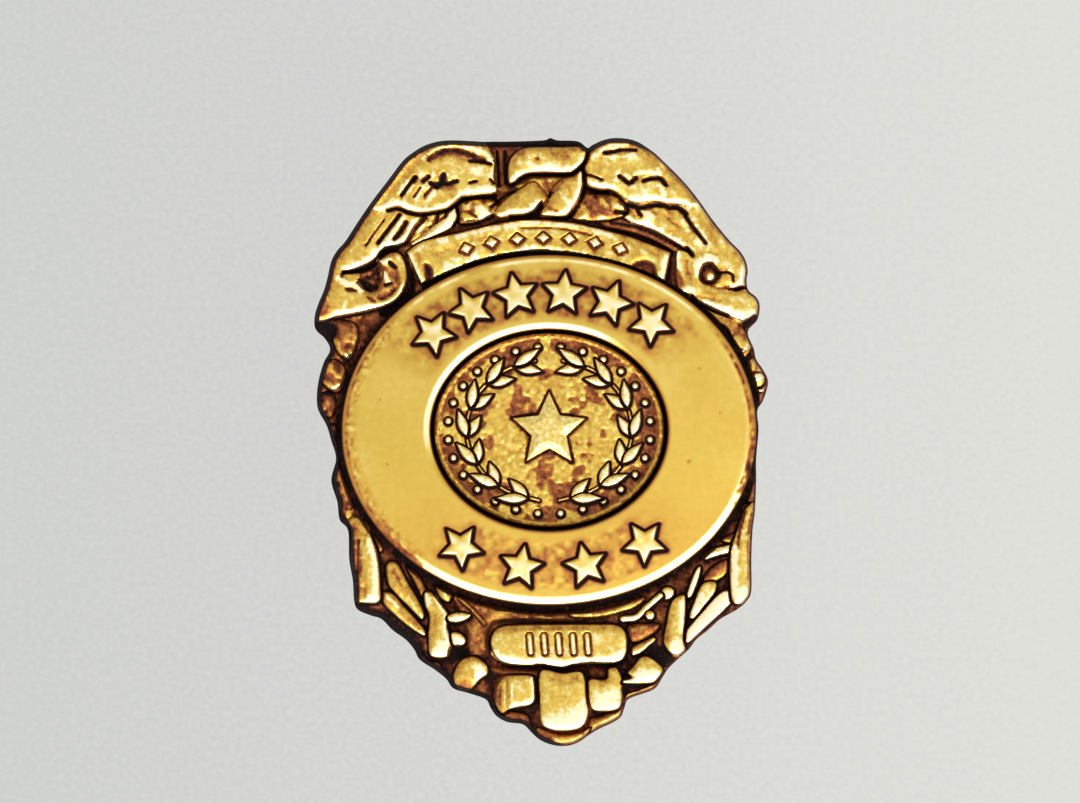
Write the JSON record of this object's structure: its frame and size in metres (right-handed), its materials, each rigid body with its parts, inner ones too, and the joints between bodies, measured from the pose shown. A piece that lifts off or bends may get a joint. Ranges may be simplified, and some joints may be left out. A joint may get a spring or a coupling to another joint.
{
  "type": "police lapel pin",
  "caption": "Small cast badge with an eagle, an oval band of stars and an inset seal, on a post held by a clutch cap.",
  "frame": {"origin": "middle of the clutch's flat end, on the post's axis", "axes": "+Z out of the badge's face, +Y towards the eagle at its top, +X to the right as the face is read"},
  "size_m": [0.0189, 0.0253, 0.0092],
  "materials": {
    "antique_gold": "cast, gold plated and antiqued, with dark patina in the recesses and worn copper tones on the edges",
    "seal_gold": "struck, gold plated and antiqued, with a dark stippled ground",
    "cap_brass": "pressed and plated, satin"
  },
  "bodies": {
    "root": {"badge": "antique_gold", "seal": "seal_gold", "clutch": "cap_brass"}
  },
  "joints": []
}
